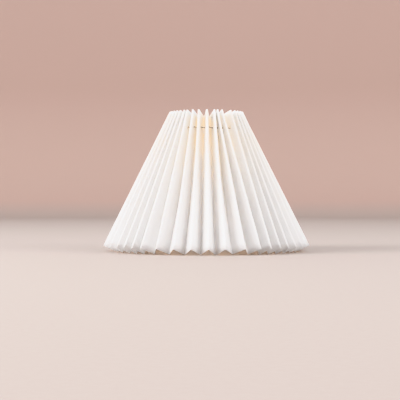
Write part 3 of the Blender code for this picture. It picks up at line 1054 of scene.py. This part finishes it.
@dataclass
class DrawString:
    """One twisted cord through every hole, tied with both ends in an overhand knot inside the back."""

    skirt: PleatedSkirt
    diameter: float = 0.0015
    lay_length: float = 0.0048
    strands: int = 3
    strand_depth: float = 0.20
    sides: int = 15
    ring_spacing: float = 0.00040
    dip: float = 0.00055
    knot_ridge: int = 1
    knot_size: float = 0.00105
    knot_gap: float = 0.62
    knot_inside_folds: float = 0.0052
    knot_entry: float = 2.2 * MM
    tie_station: float = 0.88
    tie_inside_fold: float = 0.7 * MM
    strand_spacing: float = 0.0019
    pair_offset: tuple = (0.25 * MM, 0.35 * MM)
    tail_spread: tuple = (2.2 * MM, 3.4 * MM)
    tail_skew: float = 0.8 * MM
    tail_lift: float = 0.9 * MM
    tail_end: float = 0.5 * MM

    def cord(self, path: np.ndarray, turn: float = 0.0) -> tuple[np.ndarray, list, np.ndarray, np.ndarray]:
        """A three-strand cord along a path.

        The radius at angle a and length s is R (0.80 + 0.20 |cos(1.5 (a - 2 pi s / lay))|), which
        makes three lobes that wind round.

        Args:
            path: Where the cord goes, at even steps.
            turn: The angle that the winding starts at.

        Returns:
            (points, faces, groove, (turns round, metres along) for each point).
        """
        gone = gone_along(path)[:, None]
        angle = np.arange(self.sides)[None] * TAU / self.sides
        lobe = np.abs(np.cos(self.strands / 2 * (angle - turn - TAU * gone / self.lay_length)))
        radius = self.diameter / 2 * (1 - self.strand_depth + self.strand_depth * lobe)
        points, faces = tube(path, radius, self.sides)
        place = np.stack(np.broadcast_arrays(angle / TAU, gone), axis=-1)
        return points, faces, (1 - lobe) ** 2, place

    def hole_route(self) -> np.ndarray:
        """The way through the holes, rising through one panel and dipping through the next.

        Returns:
            A point for each hole, from the knot round to it again.
        """
        start = 2 * self.knot_ridge
        route = np.roll(self.skirt.hole_centres(), -start, axis=0)
        number = np.arange(len(route)) + start
        route[:, 2] += self.dip * np.where(number % 2 == 0, 1.0, -1.0)
        return route

    def knot_path(self, centre: np.ndarray, out: np.ndarray, way: np.ndarray) -> np.ndarray:
        """An overhand knot, which is the open part of a trefoil, turned to face inwards.

        The trefoil is x = sin t + 2 sin 2t, y = cos t - 2 cos 2t, z = -sin 3t.

        Args:
            centre: The knot's middle.
            out: Outwards, level.
            way: Along the string, level.

        Returns:
            The points of its path.
        """
        t = np.linspace(self.knot_gap, TAU - self.knot_gap, 40)[:, None]
        x = np.sin(t) + 2 * np.sin(2 * t)
        y = np.cos(t) - 2 * np.cos(2 * t)
        z = -np.sin(3 * t)
        return centre + self.knot_size * (x * way + y * UP + 0.9 * z * out)

    def build(self, finish: bpy.types.Material) -> None:
        """Builds the cord, its knot and its tails as one piece.

        From the first and the last hole both ends go in over the fold to the knot. The knot has two
        cords side by side, and each runs on into a tail that hangs and spreads to its own side.

        Args:
            finish: Its material.
        """
        route = self.hole_route()
        mouth = (route[0] + route[-1]) / 2
        out = unit(mouth * (1.0, 1.0, 0.0))
        way = np.cross(UP, out)
        fold_point = self.skirt.pleating.valley_point(np.array(0), np.array(self.tie_station))
        fold = np.hypot(*fold_point[:2])
        centre = out * (fold - self.knot_inside_folds) + UP * mouth[2]
        inside = out * (fold + self.tie_inside_fold) + UP * mouth[2]
        entry = centre + out * self.knot_entry
        strand = UP * self.strand_spacing / 2
        first = [entry + strand, inside + strand, mouth + strand * 0.8]
        last = [mouth - strand * 0.8, inside - strand, entry - strand]
        ring = smooth_path(np.concatenate([first, route, last]), self.ring_spacing)
        knot = self.knot_path(centre, out, way)
        drop = centre[2] - (box_of("drawstring")[0][2] + self.tail_end)
        parts = [self.cord(ring)]
        for side, turn in ((-1.0, 0.0), (1.0, 2.0)):
            offset = side * (way * self.pair_offset[0] + out * self.pair_offset[1])
            spread = side * self.tail_spread[1] - self.tail_skew
            tail = [
                knot[-1] - UP * 1.5 * MM,
                centre + way * side * self.tail_spread[0] - UP * drop * 0.55,
                centre + way * spread - UP * (drop - self.tail_lift * (1 + side)),
            ]
            whole = np.concatenate([[entry + strand * side], knot + offset, tail])
            parts.append(self.cord(smooth_path(whole, self.ring_spacing), turn))
        piece = make_piece("drawstring_cord", *join_grids([part[:2] for part in parts]), sharp_deg=80)
        place = np.concatenate([part[3].reshape(-1, 2) for part in parts])
        add_uv(piece, "lay", place[:, 0], place[:, 1])
        add_attribute(piece, "groove", np.concatenate([part[2].ravel() for part in parts]))
        settle(piece, Body.SHADE, Slot.STRING, finish, "drawstring")


# ---------------------------------------------------------------------------------------------
# The wire frame, the fitter and the reducer
# ---------------------------------------------------------------------------------------------


@dataclass
class WireFrame:
    """Two rings, three ribs and three spokes of coated wire, welded where they cross."""

    wire: float = 0.0030
    sides: int = 20
    ring_steps: int = 220
    gap: float = 0.3 * MM
    bevel: float = 0.3 * MM
    rib_azimuths_deg: tuple = (60, 180, 300)
    rib_past_ring: float = 3 * MM
    spoke_azimuths_deg: tuple = (0, 120, 240)
    spoke_past_reducer: float = 1.0 * MM
    spoke_level_run: float = 0.0085
    weld: float = 0.0011
    weld_stretch: float = 0.7
    weld_aside: float = 0.9 * MM
    fitter_weld_aside: float = 1.2 * MM
    fitter_weld_in: float = 2.6 * MM

    def ring_place(self, node: str) -> tuple[float, float]:
        """(radius, height) of a ring's wire, from its solid."""
        low, high = box_of(node)
        return float((high - low)[:2].sum()) / 4 - self.wire / 2, float(low[2] + high[2]) / 2

    def build_ring(self, name: str, node: str, join_deg: float, finish: bpy.types.Material) -> None:
        """Builds a ring of wire, thicker where its ends are butt welded.

        The wire's radius is r (1 + 0.12 exp(-(d / 1.2 mm)^2)), d being the distance to the weld.

        Args:
            name: The piece's name.
            node: The solid that it stands for.
            join_deg: The weld's azimuth.
            finish: Its material.
        """
        radius, height = self.ring_place(node)
        azimuth = np.arange(self.ring_steps) * TAU / self.ring_steps
        turn = (azimuth - math.radians(join_deg) + math.pi) % TAU - math.pi
        swell = 1 + 0.12 * np.exp(-((turn * radius / (1.2 * MM)) ** 2))
        path, thick = around(azimuth, radius, height), self.wire / 2 * swell[:, None]
        piece = make_piece(name, *tube(path, thick, self.sides, closed=True))
        settle(piece, Body.SHADE, Slot.WIRE, finish, node)

    def capped(self, path: np.ndarray) -> tuple[np.ndarray, list]:
        """A wire whose cut ends have a small bevel, down to 0.8 of its radius.

        Args:
            path: The middle of the wire.

        Returns:
            (points, faces).
        """
        gone = gone_along(path)
        ends = np.minimum(gone, gone[-1] - gone)
        thick = self.wire / 2 * (0.80 + 0.20 * np.clip(ends / self.bevel, 0, 1))
        return tube(path, thick[:, None], self.sides)

    def straight(self, start: np.ndarray, end: np.ndarray) -> np.ndarray:
        """Points along a straight wire.

        Args:
            start: Its first end.
            end: Its other end.

        Returns:
            Both ends, and points between them from a bevel's length inside each.
        """
        length = float(np.linalg.norm(end - start))
        at = np.concatenate([[0.0], np.linspace(self.bevel, length - self.bevel, 12), [length]])
        return start + (end - start) * (at / length)[:, None]

    def rib_line(self, azimuth: float) -> tuple[np.ndarray, np.ndarray]:
        """Where a rib lies: inside both rings, and a little past each.

        Args:
            azimuth: The rib's azimuth.

        Returns:
            Its two ends.
        """
        ends = [around(azimuth, *self.ring_place(node)) for node in ("lower_ring", "top_ring")]
        along = unit(ends[1] - ends[0])
        inside = np.cross(facing(azimuth)[1], along) * (self.wire + self.gap)
        inside *= -1 if inside @ facing(azimuth)[0] > 0 else 1
        past = along * self.rib_past_ring
        return ends[0] + inside - past, ends[1] + inside + past

    def spoke_line(self, azimuth: float, number: int) -> np.ndarray:
        """A spoke's route: level on the fitter, eased down, and level under the ring.

        Args:
            azimuth: The spoke's azimuth.
            number: Its number, from 1.

        Returns:
            The route's points.
        """
        low, high = box_of(f"spoke_{number}")
        start = float(box_of("reducer_ring")[1][0]) + self.spoke_past_reducer
        end = self.ring_place("lower_ring")[0] + self.wire / 2
        half = self.wire / 2 * 0.96
        top, bottom = float(high[2]) - half, float(low[2]) + half
        first, last = start + self.spoke_level_run, end - self.spoke_level_run
        bend = np.linspace(first, last, 40)
        radius = np.concatenate([[start, start + self.bevel], bend, [end - self.bevel, end]])
        height = top + (bottom - top) * eased((radius - first) / (last - first))
        return around(azimuth, radius, height)

    def weld_blob(self, centre: np.ndarray, along: np.ndarray, seed: int) -> tuple[np.ndarray, list]:
        """A weld's lump: a ball drawn out along the joint, with a seeded ripple.

        Its radius in the direction (a, b) is R (1 + 0.12 sin(3a + p) sin(2b + q)).

        Args:
            centre: Its middle.
            along: The direction that it is drawn out in.
            seed: Where p and q come from.

        Returns:
            (points, faces).
        """
        rows, columns = 9, 16
        p, q = np.random.default_rng(seed).uniform(0, TAU, 2)
        polar, turn = np.linspace(0.02, math.pi - 0.02, rows), np.arange(columns) * TAU / columns
        b, a = np.meshgrid(polar, turn, indexing="ij")
        reach = self.weld * (1 + 0.12 * np.sin(3 * a + p) * np.sin(2 * b + q))
        ball = np.stack([np.sin(b) * np.cos(a), np.sin(b) * np.sin(a), np.cos(b)], axis=-1)
        ball *= reach[..., None]
        stretched = ball + (ball @ along)[..., None] * along * self.weld_stretch
        faces = grid_faces(rows, columns, wrap_columns=True).tolist()
        faces += [list(range(columns)), list(range((rows - 1) * columns, rows * columns))[::-1]]
        return centre + stretched, [face[::-1] for face in faces]

    def build_welds(self, finish: bpy.types.Material) -> None:
        """Builds the lumps of coated weld at every crossing, as one piece.

        Args:
            finish: Their material.
        """
        rings = [self.ring_place("lower_ring"), self.ring_place("top_ring")]
        blobs = []
        for number, degrees in enumerate(self.rib_azimuths_deg):
            azimuth = math.radians(degrees)
            out, sideways = facing(azimuth)
            start, end = self.rib_line(azimuth)
            along = unit(end - start)
            for radius, height in rings:
                ring = out * radius + UP * height
                rib = start + along * ((ring - start) @ along)
                for side in (-1, 1):
                    middle = (ring + rib) / 2 + sideways * side * self.weld_aside
                    blobs.append(self.weld_blob(middle, sideways, 10 * number + len(blobs)))
        for number, degrees in enumerate(self.spoke_azimuths_deg, 1):
            azimuth = math.radians(degrees)
            out, sideways = facing(azimuth)
            route = self.spoke_line(azimuth, number)
            radius, height = rings[0]
            under = out * radius + UP * (height + route[-1][2]) / 2
            edge = route[1] + out * self.fitter_weld_in - UP * self.wire / 2
            for side in (-1, 1):
                under_side = under + sideways * side * self.weld_aside
                edge_side = edge + sideways * side * self.fitter_weld_aside
                blobs.append(self.weld_blob(under_side, sideways, 40 + len(blobs)))
                blobs.append(self.weld_blob(edge_side, out, 60 + len(blobs)))
        piece = make_piece("weld_beads", *join_grids(blobs), sharp_deg=80)
        settle(piece, Body.SHADE, Slot.WIRE, finish)

    def build(self, finish: bpy.types.Material) -> None:
        """Builds the rings, ribs, spokes and welds.

        Args:
            finish: Their material.
        """
        self.build_ring("ring_low", "lower_ring", 100, finish)
        self.build_ring("ring_high", "top_ring", 75, finish)
        ribs = [self.straight(*self.rib_line(math.radians(degrees))) for degrees in self.rib_azimuths_deg]
        spokes = [
            self.spoke_line(math.radians(degrees), number)
            for number, degrees in enumerate(self.spoke_azimuths_deg, 1)
        ]
        for kind, routes in (("rib", ribs), ("spoke", spokes)):
            for number, route in enumerate(routes, 1):
                piece = make_piece(f"{kind}_wire_{number}", *self.capped(route))
                settle(piece, Body.SHADE, Slot.WIRE, finish, f"{kind}_{number}")
        self.build_welds(finish)


@dataclass
class Fitter:
    """The flat steel washer that the spokes carry."""

    bore: float = 0.0420
    rounding: float = 0.00045
    sides: int = 128

    def build(self, finish: bpy.types.Material) -> None:
        """Builds the washer: its outline with rounded edges, turned about the axis.

        Args:
            finish: Its material.
        """
        low, high = box_of("fitter_ring")
        bottom, top, edge, bore = float(low[2]), float(high[2]), float(high[0]), self.bore / 2
        outline = rounded([(bore, bottom), (edge, bottom), (edge, top), (bore, top)], self.rounding)
        piece = make_piece("fitter_washer", *turned(outline, self.sides))
        settle(piece, Body.SHADE, Slot.WIRE, finish, "fitter_ring")


@dataclass
class Reducer:
    """The loose moulded ring in the fitter's bore."""

    bore: float = 0.0290
    fitter_bore: float = 0.0420
    gap: float = 0.0003
    fitter_thickness: float = 0.0015
    rounding: float = 0.00035
    sides: int = 144
    groove: tuple = (0.42, 0.30)
    groove_side: float = 0.8 * MM
    groove_depth: float = 0.00025

    def build(self, finish: bpy.types.Material) -> None:
        """Builds the ring: a stepped outline with rounded corners, turned about the axis.

        The flange's top has a shallow groove, whose edges lie at those shares of the way from the
        bore to the flange's edge.

        Args:
            finish: Its material.
        """
        low, high = box_of("reducer_ring")
        bottom, top, edge = float(low[2]), float(high[2]), float(high[0])
        bore, boss = self.bore / 2, self.fitter_bore / 2 - self.gap
        step, floor = bottom + self.fitter_thickness + self.gap, top - self.groove_depth
        outer, inner = (bore + (edge - bore) * share for share in self.groove)
        corners = [
            (bore, bottom), (boss, bottom), (boss, step), (edge, step), (edge, top),
            (outer + self.groove_side, top), (outer, floor),
            (inner, floor), (inner - self.groove_side, top), (bore, top),
        ]
        piece = make_piece("reducer_moulding", *turned(rounded(corners, self.rounding), self.sides))
        settle(piece, Body.REDUCER, Slot.PLASTIC, finish, "reducer_ring")


# ---------------------------------------------------------------------------------------------
# Stage, lights and camera
# ---------------------------------------------------------------------------------------------


@dataclass(frozen=True)
class StudioLight:
    """A soft square light, aimed at a point."""

    name: str
    place: tuple
    size: float
    power: float
    colour: tuple
    aim: tuple = (0.0, 0.0, 0.09)

    def build(self) -> None:
        """Adds the light."""
        data = bpy.data.lights.new(self.name, "AREA")
        data.shape, data.size, data.energy, data.color = "SQUARE", self.size, self.power, self.colour
        made = put_in_scene(self.name, data, self.place)
        made.visible_camera = False
        made.rotation_euler = (Vector(self.aim) - Vector(self.place)).to_track_quat("-Z", "Y").to_euler()


@dataclass(frozen=True)
class InnerLight:
    """A small round light on the shade's axis, which glows through the sheet."""

    name: str
    height: float
    power: float
    colour: tuple
    radius: float = 0.022

    def build(self) -> None:
        """Adds the light."""
        data = bpy.data.lights.new(self.name, "POINT")
        data.energy, data.color, data.shadow_soft_size = self.power, self.colour, self.radius
        put_in_scene(self.name, data, (0.0, 0.0, self.height)).visible_camera = False


def put_in_scene(name: str, data: bpy.types.ID, place: tuple) -> bpy.types.Object:
    """Puts a light or a camera into the scene.

    Args:
        name: The object's name.
        data: The light or the camera.
        place: Where it stands.

    Returns:
        The object.
    """
    made = bpy.data.objects.new(name, data)
    made.location = place
    bpy.context.scene.collection.objects.link(made)
    return made


@dataclass
class Studio:
    """A round pale floor that curves up into a low backdrop, soft lights and the camera."""

    floor_colour: tuple = (0.36, 0.29, 0.255)
    wall_colour: tuple = (0.42, 0.29, 0.243)
    tone_rise: float = 0.06
    level_radii: tuple = (0.3, 0.8, 1.4, 2.0)
    bend_start: float = 2.5
    bend_radius: float = 0.5
    wall_height: float = 1.3
    sides: int = 96
    camera_place: tuple = (-0.0077, -1.338, 0.0619)
    lens: float = 98.7
    sky_colour: tuple = (0.89, 0.945, 1.0)
    sky_strength: float = 1.12
    exposure: float = 0.55
    lights: tuple = (
        StudioLight("key_left", (-2.1, -0.8, 1.0), 1.5, 66.0, (0.92, 0.965, 1.0)),
        StudioLight("fill_right", (1.9, -1.1, 0.8), 1.6, 31.0, (0.91, 0.96, 1.0)),
        InnerLight("bulb_light", 0.134, 0.18, (1.0, 0.66, 0.30)),
        InnerLight("inner_fill", 0.050, 0.055, (0.96, 0.97, 1.0)),
    )

    def floor_finish(self) -> bpy.types.Material:
        """Builds matte painted board, with the floor's tone going over into the wall's.

        Returns:
            The material.
        """
        g = Graph("painted_board")
        place = g.object_place()
        height = g.add("SeparateXYZ", {0: place}).outputs[2]
        tone = g.mix(g.rise(height, 0.0, self.tone_rise), self.floor_colour, self.wall_colour)
        grain = g.noise(place, 240.0, 3.0)
        inputs = {"Base Color": tone, "Roughness": g.between(grain, 0.7, 0.85)}
        return g.finish(g.principled(inputs | {"Normal": g.bump(grain, 0.1 * MM, 0.3)}))

    def build_backdrop(self) -> None:
        """Builds a side view that is level, then a quarter circle, then upright, turned about the axis.

        One flat face closes the floor's middle.
        """
        bend = np.linspace(0, math.pi / 2, 16)
        curve = self.bend_start + self.bend_radius * np.sin(bend)
        radius = np.concatenate([self.level_radii, curve, curve[-1:]])
        rise = self.bend_radius * (1 - np.cos(bend))
        height = np.concatenate([np.zeros(len(self.level_radii)), rise, [self.wall_height]])
        azimuth = np.arange(self.sides)[:, None] * TAU / self.sides
        faces = grid_faces(self.sides, len(radius), wrap_rows=True).tolist()
        faces.append(list(range(0, self.sides * len(radius), len(radius))))
        backdrop = make_piece("backdrop", around(azimuth, radius[None], height[None]), faces)
        backdrop.data.materials.append(self.floor_finish())

    def build_world(self) -> None:
        """Adds even pale light from all round."""
        world = bpy.data.worlds.new("studio")
        world.use_nodes = True
        sky = world.node_tree.nodes["Background"]
        sky.inputs["Color"].default_value = (*self.sky_colour, 1.0)
        sky.inputs["Strength"].default_value = self.sky_strength
        bpy.context.scene.world = world

    def build_camera(self) -> None:
        """Adds a level camera straight in front, a little to the left of the shade's axis."""
        data = bpy.data.cameras.new("camera")
        data.lens, data.sensor_width, data.clip_end = self.lens, 36.0, 20.0
        made = put_in_scene("camera", data, self.camera_place)
        made.rotation_euler = (math.pi / 2, 0.0, 0.0)
        bpy.context.scene.camera = made

    def build(self) -> None:
        """Builds the camera, backdrop and lights."""
        self.build_camera()
        self.build_backdrop()
        self.build_world()
        for light in self.lights:
            light.build()
        view = bpy.context.scene.view_settings
        view.view_transform, view.exposure = "Khronos PBR Neutral", self.exposure
        LOG.info("stage, lights and camera")


def main() -> None:
    """Builds the stage and then the shade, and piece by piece."""
    logging.basicConfig(level=logging.INFO, format="%(message)s")
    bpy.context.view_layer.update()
    Studio().build()
    steel = CoatedSteelFinish().build()
    skirt = PleatedSkirt(Pleating())
    skirt.build(SheetFinish().build())
    SeamTape(skirt).build(TapeFinish().build())
    DrawString(skirt).build(CottonFinish().build())
    WireFrame().build(steel)
    Fitter().build(steel)
    Reducer().build(MouldedPlasticFinish().build())


if __name__ == "__main__":
    main()
